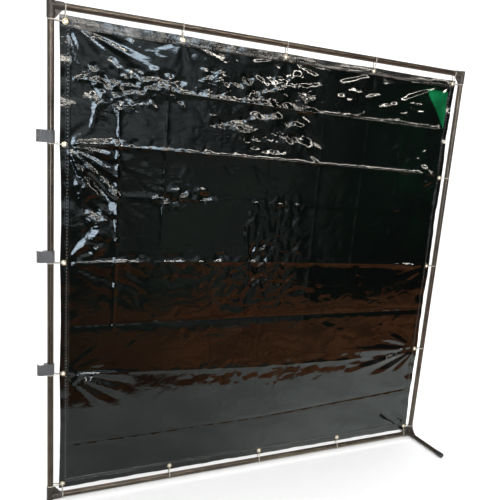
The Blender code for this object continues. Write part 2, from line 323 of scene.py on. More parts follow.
for node in NODES:
    if node in ("left_post", "right_post"):
        finish_node(node, TUBE_ALONG["z"])
    elif node in ("top_tube", "bottom_tube"):
        finish_node(node, TUBE_ALONG["x"])
    elif node in ("front_leg", "rear_leg"):
        finish_node(node, TUBE_ALONG["y"])
    elif "joint" in node:
        finish_node(node, JOINT)
    elif "cap" in node:
        finish_node(node, CAP)
    elif "clip" in node:
        finish_node(node, CLIP)
    elif node in EYELETS:
        finish_node(node, BRASS)
    elif node in TIES:
        finish_node(node, NYLON)

# ---------------------------------------------------------------- the curtain: shape

HEM = 0.036
HEM_STEPS = 6
HEM_EDGE = 0.0012  # half the width of the step where the hem ends
BESIDE_FOLD = 0.003  # from a fold to the grid lines beside it
PITCH = 0.0118
FINE_PITCH = 0.0076
FINE_COLUMNS = (0.0, 1.15)
FINE_ROWS = (1.25, 1.87)
HEM_THICKNESS = 0.0010
FILM_SHARE = 0.4  # the single film's thickness over the hem's

# Where the sheet was folded for packing: heights of the level folds at its left edge, middle and right edge.
LEVEL_FOLDS = [
    (0.194, 0.200, 0.248),
    (0.520, 0.466, 0.449),
    (0.725, 0.717, 0.705),
    (0.994, 0.983, 0.958),
    (1.263, 1.252, 1.241),
    (1.458, 1.447, 1.431),
    (1.693, 1.672, 1.657),
]
# And the upright folds: distance from the left edge at the foot, middle and head of the sheet.
UPRIGHT_FOLDS = [
    (0.214, 0.217, 0.221),
    (0.401, 0.407, 0.419),
    (0.660, 0.655, 0.651),
    (0.904, 0.900, 0.893),
    (1.146, 1.150, 1.158),
    (1.376, 1.386, 1.410),
    (1.600, 1.604, 1.611),
]


def smooth(value, low, high):
    share = np.clip((value - low) / (high - low), 0.0, 1.0)
    return share * share * (3 - 2 * share)


def grid_stops(folds, length, fine):
    """Places of the grid's lines over one side: closer in the fine stretch, beside folds and at the hem's step."""
    fixed = [0.0, HEM - HEM_EDGE, HEM + HEM_EDGE]
    for fold in folds:
        fixed += [fold[1] - BESIDE_FOLD, fold[1], fold[1] + BESIDE_FOLD]
    fixed += [length - HEM - HEM_EDGE, length - HEM + HEM_EDGE, length]
    stops = []
    for start, end in zip(fixed, fixed[1:]):
        pitch = FINE_PITCH if fine[0] <= (start + end) / 2 <= fine[1] else PITCH
        in_hem = end < HEM or start > length - HEM
        steps = HEM_STEPS if in_hem else max(1, round((end - start) / pitch))
        stops += [start + (end - start) * step / steps for step in range(steps)]
    return np.array(stops + [length])


def curtain_grid():
    columns = grid_stops(UPRIGHT_FOLDS, SHEET_WIDTH, FINE_COLUMNS)
    rows = grid_stops(LEVEL_FOLDS, SHEET_HEIGHT, FINE_ROWS)
    nothing_selected()
    bpy.ops.mesh.primitive_grid_add(
        x_subdivisions=len(columns) - 1,
        y_subdivisions=len(rows) - 1,
        size=1.0,
        location=(0, 0, 0),
        rotation=(math.pi / 2, 0, 0),
    )
    curtain = bpy.context.object
    curtain.name = curtain.data.name = "curtain_film"
    bpy.ops.object.transform_apply(location=True, rotation=True, scale=True)
    return curtain, columns, rows


curtain, columns, rows = curtain_grid()
vertex_count = len(curtain.data.vertices)
points = np.empty(vertex_count * 3)
curtain.data.vertices.foreach_get("co", points)
points = points.reshape(-1, 3)
order = np.lexsort((np.round(points[:, 0], 6), np.round(points[:, 2], 6)))
order = order.reshape(len(rows), len(columns))

# U and W are each grid point's place across and up the sheet, H its height off it, CRUMPLE how creased it is.
# Rows and columns follow the folds, so every fold runs along one grid line.
KNOWN_AT = np.array([0.0, 0.5, 1.0])  # a fold is given at its two ends and its middle
U = np.empty((len(rows), len(columns)))
W = np.empty_like(U)
row_marks = [0.0, HEM] + [fold[1] for fold in LEVEL_FOLDS] + [SHEET_HEIGHT - HEM, SHEET_HEIGHT]
column_marks = [0.0, HEM] + [fold[1] for fold in UPRIGHT_FOLDS] + [SHEET_WIDTH - HEM, SHEET_WIDTH]
for index, across in enumerate(columns):
    bent = [np.interp(across / SHEET_WIDTH, KNOWN_AT, fold) for fold in LEVEL_FOLDS]
    moved = [0.0, HEM] + bent + [SHEET_HEIGHT - HEM, SHEET_HEIGHT]
    W[:, index] = rows + np.interp(rows, row_marks, np.array(moved) - row_marks)
for index, up in enumerate(rows):
    bent = [np.interp(up / SHEET_HEIGHT, KNOWN_AT, fold) for fold in UPRIGHT_FOLDS]
    moved = [0.0, HEM] + bent + [SHEET_WIDTH - HEM, SHEET_WIDTH]
    U[index, :] = columns + np.interp(columns, column_marks, np.array(moved) - column_marks)

H = np.zeros_like(U)
CRUMPLE = np.zeros_like(U)


def along_line(line, reach):
    """The grid's patch near a line of points, its distance from it, the share of the line passed, its length."""
    line = np.array(line, float)
    low, high = line.min(axis=0) - reach, line.max(axis=0) + reach
    patch = np.nonzero((U > low[0]) & (U < high[0]) & (W > low[1]) & (W < high[1]))
    place = np.stack([U[patch], W[patch]], 1)
    nearest = np.full(len(place), 9.0)
    share = np.zeros(len(place))
    lengths = np.linalg.norm(np.diff(line, axis=0), axis=1)
    whole = lengths.sum()
    gone = 0.0
    for start, end, length in zip(line, line[1:], lengths):
        t = np.clip(((place - start) @ (end - start)) / length**2, 0, 1)
        away = np.linalg.norm(place - (start + t[:, None] * (end - start)), axis=1)
        closer = away < nearest
        nearest[closer] = away[closer]
        share[closer] = (gone + t[closer] * length) / whole
        gone += length
    return patch, nearest, share, whole


def crease(line, depth, width, fade=0.2, broken=0.0):
    """A sharp ridge or valley along a line, dying out at its two ends; a broken one comes and goes."""
    patch, away, share, whole = along_line(line, 5 * width)
    ends = smooth(share, 0, fade) * smooth(1 - share, 0, fade)
    run = share * whole
    ends *= 1 - broken * (0.5 + 0.3 * np.sin(run * 71 + whole) + 0.2 * np.sin(run * 173 + 1))
    H[patch] += depth * np.exp(-away / width) * ends


def wrinkle(line, depth, width):
    """A short rounded ridge or valley."""
    patch, away, share, _ = along_line(line, 3 * width)
    H[patch] += depth * np.exp(-((away / width) ** 2)) * smooth(share, 0, 0.3) * smooth(1 - share, 0, 0.3)


PULL_GAIN = 2.1
PULL_REACH = 0.09
CRINKLE_GAIN = 1.7
CRINKLE_MARGIN = 0.012  # kept free along the sheet's edge


def pull(start, angle, length, depth, width=0.010):
    """A tension fold that leaves an eyelet narrow and opens as it runs into the sheet."""
    turn = math.radians(angle)
    bow = rng.uniform(-0.03, 0.03) * length
    line = []
    for t in (0, 0.35, 0.7, 1):
        aside = bow * math.sin(math.pi * t)
        line.append(
            (
                start[0] + length * t * math.cos(turn) - aside * math.sin(turn),
                start[1] + length * t * math.sin(turn) + aside * math.cos(turn),
            )
        )
    patch, away, share, _ = along_line(line, PULL_REACH)
    open_width = width * (0.45 + 1.5 * share)
    ridge = PULL_GAIN * depth * np.exp(-((away / open_width) ** 1.5))
    H[patch] += ridge * smooth(share, 0.0, 0.12) * smooth(1 - share, 0.0, 0.6)


def crinkles(centre, half, count, lengths, angle, swing, depths, width=0.006):
    """A cluster of short sharp creases, each a slightly crooked line."""
    for _ in range(count):
        start = np.array(centre) + np.array(half) * rng.uniform(-1, 1, 2)
        heading = math.radians(angle + rng.uniform(-swing, swing))
        length = rng.uniform(*lengths)
        line = [start]
        for _ in range(3):
            heading += rng.uniform(-0.28, 0.28)
            line.append(line[-1] + length / 3 * np.array([math.cos(heading), math.sin(heading)]))
        line = np.clip(np.array(line), CRINKLE_MARGIN, SHEET_WIDTH - CRINKLE_MARGIN)
        depth = CRINKLE_GAIN * rng.choice([-1, 1]) * rng.uniform(*depths)
        wrinkle(line, depth, 1.3 * width * rng.uniform(0.7, 1.5))


# Zigzag of the packing folds: each panel between two folds leans a little, and the fold itself is a sharp line.
FOLD_LEANS = [0, -0.0016, 0.0018, -0.0024, 0.0020, -0.0018, 0.0022, -0.0030, 0]
for index, across in enumerate(columns):
    bent = [np.interp(across / SHEET_WIDTH, KNOWN_AT, fold) for fold in LEVEL_FOLDS]
    H[:, index] += np.interp(W[:, index], [0.0, *bent, SHEET_HEIGHT], FOLD_LEANS)
LEVEL_DEPTHS = (-0.0026, 0.0022, -0.0024, 0.0036, 0.0026, 0.0042, 0.0046)
FOLD_END = 0.02  # a level fold stops this far from the sheet's sides
for fold, depth in zip(LEVEL_FOLDS, LEVEL_DEPTHS):
    line = [(FOLD_END, fold[0]), (SHEET_WIDTH / 2, fold[1]), (SHEET_WIDTH - FOLD_END, fold[2])]
    crease(line, depth, 0.009, 0.03, 0.35)
# An upright fold's depth, and the heights between which it shows.
UPRIGHT_RUNS = [
    (0.0046, 0.66, 1.66),
    (0.0024, 1.05, 1.80),
    (0.0007, 0.3, 1.7),
    (-0.0009, 0.2, 1.8),
    (0.0006, 0.4, 1.7),
    (0.0014, 0.95, 1.75),
    (0.0008, 0.5, 1.8),
]
for fold, (depth, low, high) in zip(UPRIGHT_FOLDS, UPRIGHT_RUNS):
    ups = (low, (low + high) / 2, high)
    line = [(float(np.interp(up / SHEET_HEIGHT, KNOWN_AT, fold)), up) for up in ups]
    crease(line, depth, 0.0055, 0.10, 0.75)

# Slow billows of the slack film.
for _ in range(16):
    centre = rng.uniform(0.1, 1.8, 2)
    size = rng.uniform(0.16, 0.34)
    lean = rng.uniform(0, math.pi)
    across = (U - centre[0]) * math.cos(lean) + (W - centre[1]) * math.sin(lean)
    down = -(U - centre[0]) * math.sin(lean) + (W - centre[1]) * math.cos(lean)
    H += rng.uniform(-0.0022, 0.0022) * np.exp(-((across / size) ** 2) - ((down / (0.6 * size)) ** 2))


def on_sheet(name):
    """Where an eyelet is, across and up from the sheet's lower left corner."""
    centre = middle(name)
    return np.array([centre.x - SHEET_LOW.x, centre.z - SHEET_LOW.z])


# Tension folds from each eyelet: degrees from level, length and depth.
PULLS = {
    "eyelet_top_left": [
        (-9, 0.31, 0.0016), (-15, 0.385, -0.0015), (-20, 0.40, 0.0022), (-26, 0.30, -0.0013),
        (-31, 0.24, 0.0018), (-52, 0.16, 0.0009), (-70, 0.22, -0.0008),
    ],
    "eyelet_left_3": [
        (4, 0.34, 0.0016), (-4, 0.30, -0.0012), (-13, 0.30, 0.0022), (-21, 0.28, -0.0022), (-29, 0.30, 0.0034),
        (-37, 0.30, -0.0026), (-44, 0.32, 0.0036), (-52, 0.30, -0.0026), (-60, 0.26, 0.0026),
        (-70, 0.22, -0.0018), (30, 0.2, 0.0008), (50, 0.16, -0.0010),
    ],
    "eyelet_left_2": [
        (11, 0.30, 0.0016), (2, 0.34, -0.0014), (-9, 0.28, 0.0016), (-22, 0.26, -0.0014), (-36, 0.24, 0.0012),
        (26, 0.24, -0.0014), (40, 0.22, 0.0016), (58, 0.18, -0.0012),
    ],
    "eyelet_left_1": [
        (14, 0.26, 0.0012), (2, 0.3, -0.0012), (-9, 0.34, 0.0032), (-16, 0.34, -0.0032), (-24, 0.34, 0.0034),
        (-32, 0.32, -0.0032), (-41, 0.28, 0.0030), (-51, 0.22, -0.0026), (34, 0.22, 0.0010),
        (-64, 0.16, -0.0012),
    ],
    "eyelet_top_right": [
        (-172, 0.52, 0.0017), (-164, 0.40, -0.0010), (-156, 0.46, 0.0020), (-151, 0.38, -0.0014),
        (-128, 0.25, 0.0009), (-112, 0.22, -0.0008),
    ],
    "eyelet_right_3": [
        (-163, 0.234, 0.0013), (-148, 0.30, -0.0012), (172, 0.22, -0.0009), (156, 0.26, 0.0010),
        (-133, 0.2, 0.0008),
    ],
    "eyelet_right_2": [
        (176, 0.40, 0.0011), (-152, 0.213, 0.0012), (-166, 0.28, -0.0009), (158, 0.3, -0.0010),
        (142, 0.18, 0.0007),
    ],
    "eyelet_right_1": [
        (178, 0.62, 0.0020), (-174, 0.60, -0.0022), (-166, 0.48, 0.0030), (-158, 0.36, -0.0030),
        (-150, 0.30, 0.0030), (-141, 0.24, -0.0024), (-130, 0.20, 0.0018), (168, 0.40, -0.0016),
        (156, 0.34, 0.0016), (143, 0.26, -0.0012),
    ],
    "eyelet_top_1": [
        (-62, 0.15, 0.0006), (-84, 0.16, -0.0006), (-108, 0.14, 0.0006), (-20, 0.26, 0.0010),
        (-160, 0.2, -0.0007),
    ],
    "eyelet_top_2": [
        (-55, 0.14, 0.0006), (-80, 0.13, -0.0006), (-112, 0.14, 0.0006), (-10, 0.34, 0.0014),
        (-17, 0.30, -0.0012), (-166, 0.26, 0.0010),
    ],
    "eyelet_top_3": [
        (-60, 0.13, 0.0006), (-88, 0.14, -0.0006), (-121, 0.15, 0.0006), (-172, 0.34, 0.0014),
        (-165, 0.3, -0.0010),
    ],
    "eyelet_bottom_1": [(66, 0.14, 0.0006), (96, 0.16, -0.0006), (128, 0.15, 0.0006)],
    "eyelet_bottom_2": [(60, 0.14, 0.0006), (92, 0.15, -0.0006), (124, 0.15, 0.0006)],
    "eyelet_bottom_3": [(58, 0.14, 0.0006), (94, 0.15, -0.0006), (131, 0.16, 0.0006)],
    "eyelet_bottom_left": [(24, 0.2, 0.0008), (45, 0.22, -0.0009), (66, 0.2, 0.0007)],
    "eyelet_bottom_right": [(156, 0.2, 0.0008), (137, 0.24, -0.0009), (113, 0.2, 0.0007)],
}
for name, folds in PULLS.items():
    for angle, length, depth in folds:
        pull(on_sheet(name), angle, length, depth)
        # Finer tension lines run beside each fold.
        for aside in (-1, 1):
            beside = angle + aside * rng.uniform(1.8, 3.2)
            shorter = length * rng.uniform(0.5, 0.95)
            pull(on_sheet(name), beside, shorter, 0.42 * aside * depth, 0.0045)

# Thin strained lines from the upper eyelets: degrees from level, length and depth.
STRAINED_LINES = [
    ("eyelet_top_left", -12, 0.42, 0.0016),
    ("eyelet_top_left", -18, 0.46, -0.0014),
    ("eyelet_top_left", -24, 0.46, 0.0018),
    ("eyelet_top_left", -30, 0.42, -0.0016),
    ("eyelet_top_left", -37, 0.36, 0.0018),
    ("eyelet_top_left", -45, 0.26, 0.0014),
    ("eyelet_left_3", 9, 0.40, 0.0014),
    ("eyelet_left_3", -17, 0.34, 0.0014),
    ("eyelet_top_right", -176, 0.55, 0.0012),
    ("eyelet_top_right", -168, 0.62, -0.0012),
    ("eyelet_top_right", -159, 0.60, 0.0014),
    ("eyelet_top_right", -153.5, 0.58, 0.0016),
    ("eyelet_top_right", -150, 0.54, -0.0014),
    ("eyelet_right_3", -150, 0.34, 0.0012),
    ("eyelet_right_3", -122, 0.22, 0.0010),
    ("eyelet_right_3", -106, 0.26, -0.0010),
    ("eyelet_right_3", 174, 0.24, 0.0010),
    ("eyelet_right_2", -157, 0.30, 0.0010),
    ("eyelet_right_2", 169, 0.34, 0.0012),
    ("eyelet_right_2", -144, 0.26, -0.0010),
]
LINE_START = 0.04  # from the eyelet's centre
for name, angle, length, depth in STRAINED_LINES:
    origin = on_sheet(name)
    heading = np.array([math.cos(math.radians(angle)), math.sin(math.radians(angle))])
    line = [origin + heading * LINE_START, origin + heading * (LINE_START + length)]
    crease(line, depth, 0.0042, 0.12, 0.7)

# Handling crinkles, thickest at the upper left and along the head of the sheet. Each cluster has its centre, half
# its size, how many, the range of lengths, degrees from level, their swing, the range of depths, and a width.
UPPER_LEFT_CRINKLES = [
    ((0.27, 1.69), (0.17, 0.04), 30, (0.04, 0.12), -10, 25, (0.0008, 0.0016)),
    ((0.14, 1.74), (0.07, 0.05), 16, (0.03, 0.09), -42, 22, (0.0008, 0.0016), 0.0055),
    ((0.33, 1.72), (0.12, 0.04), 22, (0.03, 0.09), -22, 25, (0.0008, 0.0016), 0.0055),
    ((0.24, 1.64), (0.12, 0.03), 16, (0.02, 0.07), -20, 50, (0.0008, 0.0014), 0.005),
]
for cluster in UPPER_LEFT_CRINKLES:
    crinkles(*cluster)
for line in ([(0.168, 1.685), (0.135, 1.60), (0.110, 1.50)], [(0.175, 1.69), (0.20, 1.62), (0.222, 1.56)]):
    crease(line, 0.0034, 0.007)
OTHER_CRINKLES = [
    ((0.09, 1.62), (0.04, 0.08), 9, (0.05, 0.09), 0, 12, (0.0008, 0.0015), 0.008),
    ((0.12, 1.30), (0.05, 0.06), 9, (0.08, 0.16), -36, 12, (0.0022, 0.0034), 0.011),
    ((0.11, 1.16), (0.05, 0.07), 12, (0.06, 0.13), -28, 16, (0.0020, 0.0032), 0.009),
    ((0.07, 1.32), (0.03, 0.12), 12, (0.03, 0.07), -20, 30, (0.0012, 0.0020), 0.006),
    ((0.21, 1.32), (0.01, 0.16), 14, (0.015, 0.04), 80, 25, (0.0014, 0.0022), 0.0055),
    ((0.10, 1.05), (0.05, 0.04), 8, (0.05, 0.11), 8, 25, (0.0012, 0.0022), 0.008),
    ((0.20, 0.90), (0.12, 0.08), 12, (0.05, 0.12), -30, 30, (0.0006, 0.0013), 0.008),
    ((0.60, 1.74), (0.08, 0.06), 22, (0.02, 0.05), -30, 60, (0.0006, 0.0012), 0.005),
    ((0.86, 1.70), (0.20, 0.10), 46, (0.05, 0.14), -8, 16, (0.0012, 0.0022), 0.009),
    ((0.84, 1.56), (0.22, 0.07), 30, (0.05, 0.14), -14, 16, (0.0012, 0.0021), 0.009),
    ((0.62, 1.52), (0.10, 0.12), 18, (0.02, 0.06), -30, 60, (0.0006, 0.0012), 0.005),
    ((0.36, 1.45), (0.10, 0.05), 10, (0.02, 0.06), -20, 60, (0.0006, 0.0012), 0.005),
    ((0.46, 1.26), (0.12, 0.03), 22, (0.03, 0.08), -10, 30, (0.0016, 0.0026), 0.008),
    ((0.45, 1.00), (0.30, 0.03), 16, (0.03, 0.09), 0, 25, (0.0012, 0.0022), 0.008),
    ((1.40, 1.76), (0.30, 0.02), 9, (0.08, 0.16), -3, 6, (0.0006, 0.0010), 0.005),
    ((1.62, 1.33), (0.20, 0.22), 24, (0.04, 0.14), 35, 40, (0.0004, 0.0010)),
    ((0.93, 1.04), (0.13, 0.20), 110, (0.03, 0.12), 60, 70, (0.0012, 0.0022), 0.0042),
    ((0.82, 0.86), (0.18, 0.12), 60, (0.03, 0.12), 30, 60, (0.0010, 0.0018), 0.0042),
    ((1.30, 0.95), (0.20, 0.16), 30, (0.03, 0.12), -20, 50, (0.0005, 0.0010), 0.005),
    ((0.50, 0.98), (0.36, 0.10), 20, (0.03, 0.10), 0, 50, (0.0003, 0.0010), 0.006),
    ((0.95, 0.58), (0.80, 0.18), 60, (0.03, 0.12), 5, 60, (0.0004, 0.0009), 0.005),
    ((1.10, 0.43), (0.60, 0.05), 30, (0.06, 0.16), 8, 8, (0.0006, 0.0014), 0.006),
    ((1.66, 1.52), (0.16, 0.12), 12, (0.05, 0.14), 28, 14, (0.0006, 0.0012), 0.005),
    ((1.68, 1.18), (0.16, 0.12), 16, (0.05, 0.14), 30, 22, (0.0006, 0.0012), 0.005),
    ((0.95, 0.25), (0.85, 0.18), 40, (0.03, 0.12), 10, 90, (0.0001, 0.0003)),
    ((0.95, 0.95), (0.90, 0.90), 120, (0.03, 0.12), 0, 90, (0.0002, 0.0006)),
]
for cluster in OTHER_CRINKLES:
    crinkles(*cluster)

# The hem ripples between the eyelets and its edge is drawn in a little there.
edge_gap = np.minimum.reduce([U, SHEET_WIDTH - U, W, SHEET_HEIGHT - W])


def scallop(side):
    """0 at the eyelets of one side and 1 midway between them, for each vertex by its place along that side."""
    along = 1 if side in ("left", "right") else 0
    run = W if along else U
    places = sorted(on_sheet(name)[along] for name in EYELETS if side in name)
    height = np.zeros_like(run)
    for start, end in zip(places, places[1:]):
        t = (run - start) / (end - start)
        height = np.where((t > 0) & (t < 1), np.sin(np.pi * np.clip(t, 0, 1)), height)
    return height


EDGE_REACH = 0.09  # how far from the edge the hem's ripples and bows reach
DRAWN_IN = {"left": 0.004, "right": 0.004, "top": 0.003, "bottom": 0.0015}
ripple = np.zeros_like(U)
for side, away in (("left", U), ("right", SHEET_WIDTH - U), ("top", SHEET_HEIGHT - W), ("bottom", W)):
    bow = scallop(side)
    close = 1 - smooth(away, 0.0, EDGE_REACH)
    run = W if side in ("left", "right") else U
    ripple += bow * close * (0.0022 * np.sin(run * 31 + len(side)) + 0.0012 * np.sin(run * 83 + 2))
    shift = DRAWN_IN[side] * bow * close
    if side == "left":
        U += shift
    elif side == "right":
        U -= shift
    elif side == "top":
        W -= shift
    else:
        W += shift
H += ripple

# The upper left corner is drawn out towards the frame, and the foot of the sheet hangs a little lower.
head_close = 1 - smooth(SHEET_HEIGHT - W, 0.0, EDGE_REACH)
left_close = 1 - smooth(U, 0.0, EDGE_REACH)
W += 0.0075 * head_close * (1 - smooth(U, 0.0, 0.95))
U -= 0.0060 * left_close * smooth(W, 1.10, 1.78)
W -= 0.0040 * (1 - smooth(W, 0.0, EDGE_REACH))

# Flat and level under every eyelet.
centres = np.array([on_sheet(name) for name in EYELETS])
eyelet_gap = np.min(np.hypot(U[..., None] - centres[:, 0], W[..., None] - centres[:, 1]), axis=2)
H *= smooth(eyelet_gap, 0.014, 0.050)

# How crumpled each place is, for the finest wrinkles of the finish: centre, half size and amount.
CRUMPLED_PLACES = [
    ((0.28, 1.69), (0.20, 0.05), 1.0),
    ((0.20, 1.62), (0.12, 0.07), 0.9),
    ((0.12, 1.34), (0.10, 0.10), 0.5),
    ((0.12, 1.12), (0.10, 0.10), 0.6),
    ((0.62, 1.70), (0.10, 0.12), 0.9),
    ((0.92, 1.72), (0.22, 0.09), 0.9),
    ((0.80, 1.56), (0.24, 0.08), 0.8),
    ((0.97, 1.02), (0.12, 0.25), 0.75),
    ((1.35, 1.70), (0.42, 0.08), 0.5),
    ((1.60, 1.30), (0.22, 0.30), 0.4),
    ((0.46, 1.27), (0.14, 0.07), 0.8),
    ((0.42, 0.98), (0.40, 0.06), 0.5),
]
for centre, size, amount in CRUMPLED_PLACES:
    across, up = (U - centre[0]) / size[0], (W - centre[1]) / size[1]
    CRUMPLE = np.maximum(CRUMPLE, amount * np.exp(-(across**2) - (up**2)))

# Round each eyelet the film is punched: the eight grid points round the middle one go onto a ring that the
# eyelet's flange covers, and the middle one is deleted.
PUNCHED = 0.0093
RING = [
    (-1, -1, 225), (-1, 0, 270), (-1, 1, 315), (0, 1, 0),
    (1, 1, 45), (1, 0, 90), (1, -1, 135), (0, -1, 180),
]
punched_out = []
for centre in centres:
    i, j = np.unravel_index(np.argmin(np.hypot(U - centre[0], W - centre[1])), U.shape)
    punched_out.append(order[i, j])
    for di, dj, angle in RING:
        U[i + di, j + dj] = centre[0] + PUNCHED * math.cos(math.radians(angle))
        W[i + di, j + dj] = centre[1] + PUNCHED * math.sin(math.radians(angle))
        H[i + di, j + dj] = 0.0

flat_order = order.reshape(-1)
points[flat_order, 0] = SHEET_LOW.x + U.reshape(-1)
points[flat_order, 2] = SHEET_LOW.z + W.reshape(-1)
points[flat_order, 1] = (SHEET_LOW.y + SHEET_HIGH.y) / 2 - H.reshape(-1)
curtain.data.vertices.foreach_set("co", points.reshape(-1))
crumple_layer = curtain.data.attributes.new("crumple", "FLOAT", "POINT")
values = np.empty(vertex_count)
values[flat_order] = CRUMPLE.reshape(-1)
crumple_layer.data.foreach_set("value", values)
hem_group = curtain.vertex_groups.new(name="hem")
hem_group.add([int(index) for index in order[edge_gap <= HEM]], 1.0, "REPLACE")

nothing_selected()
bpy.context.view_layer.objects.active = curtain
curtain.select_set(True)
bpy.ops.object.mode_set(mode="EDIT")
bpy.ops.mesh.select_all(action="DESELECT")
bpy.ops.object.mode_set(mode="OBJECT")
for index in punched_out:
    curtain.data.vertices[int(index)].select = True
bpy.ops.object.mode_set(mode="EDIT")
bpy.ops.mesh.select_mode(type="VERT")
bpy.ops.mesh.delete(type="VERT")
bpy.ops.object.mode_set(mode="OBJECT")

wall = curtain.modifiers.new("film", "SOLIDIFY")
wall.thickness = HEM_THICKNESS
wall.offset = 0.0
wall.vertex_group = "hem"
wall.thickness_vertex_group = FILM_SHARE
bpy.ops.object.modifier_apply(modifier="film")
bpy.ops.object.shade_smooth_by_angle(angle=math.radians(50))
curtain.vertex_groups.clear()

# ---------------------------------------------------------------- the curtain: finish


WELD_SPACING = 0.0135
WELD_ROW = 0.026  # from the sheet's edge
RIB_OFFSET = 0.0065  # from the row of weld dots to the raised line on each side


def sheet_edges(tree, x, z):
    """Distances to the sheet's left, right, head and foot edges."""
    return (
        minus(tree, x, SHEET_LOW.x),
        minus(tree, SHEET_HIGH.x, x),
        minus(tree, SHEET_HIGH.z, z),
        minus(tree, z, SHEET_LOW.z),
    )


def lit_corner(tree, x, z, wander):
    """1 in the upper right corner, painted as where daylight comes through the film, behind a slanting boundary."""
    across = times(tree, minus(tree, x, LEFT + 1.767), 0.80)
    ahead = plus(tree, across, times(tree, minus(tree, z, BOTTOM + 1.874), 0.60))
    ahead = plus(tree, ahead, times(tree, minus(tree, wander, 0.5), 0.02))
    below_hem = spread(tree, z, BOTTOM + 1.868, BOTTOM + 1.884, 1.0, 0.0)
    return times(tree, spread(tree, ahead, -0.006, 0.010), below_hem)


def weld_marks(tree, x, z, edges):
    """One row of small weld dots along the hem, and the raised line on each side of it."""
    left, right, head, foot = edges
    sides, ends = smaller(tree, left, right), smaller(tree, head, foot)
    upright = maths(tree, "LESS_THAN", sides, ends)
    along = plus(tree, times(tree, upright, z), times(tree, minus(tree, 1.0, upright), x))
    beat = maths(tree, "FRACT", times(tree, plus(tree, along, 3.0), 1 / WELD_SPACING))
    beat = distance(tree, beat, 0.5)
    off_row = distance(tree, smaller(tree, sides, ends), WELD_ROW)
    welds = times(tree, spread(tree, beat, 0.16, 0.26, 1.0, 0.0), spread(tree, off_row, 0.0018, 0.0032, 1.0, 0.0))
    ribs = spread(tree, distance(tree, off_row, RIB_OFFSET), 0.0006, 0.0020, 1.0, 0.0)
    return welds, ribs


def cell_edges(tree, place, size, turn, reach):
    """Rounded ridges between the cells of a stretched pattern."""
    where = {"Vector": stretched(tree, place, size, turn), "Scale": 1.0}
    gap = put(tree, "ShaderNodeTexVoronoi", where, feature="DISTANCE_TO_EDGE").outputs["Distance"]
    return maths(tree, "POWER", spread(tree, gap, 0.0, reach), 0.5)


def carried_place(tree, coords):
    """The place moved about by slow noise, so that the crumple patterns aren't straight."""
    bent = put(tree, "ShaderNodeTexNoise", {"Vector": coords, "Scale": 7.0, "Detail": 3.0}).outputs["Color"]
    shift = put(tree, "ShaderNodeVectorMath", {0: bent, 1: (0.5, 0.5, 0.5)}, operation="SUBTRACT").outputs[0]
    shift = put(tree, "ShaderNodeVectorMath", {0: shift, "Scale": 0.10}, operation="SCALE").outputs[0]
    return put(tree, "ShaderNodeVectorMath", {0: coords, 1: shift}, operation="ADD").outputs[0]


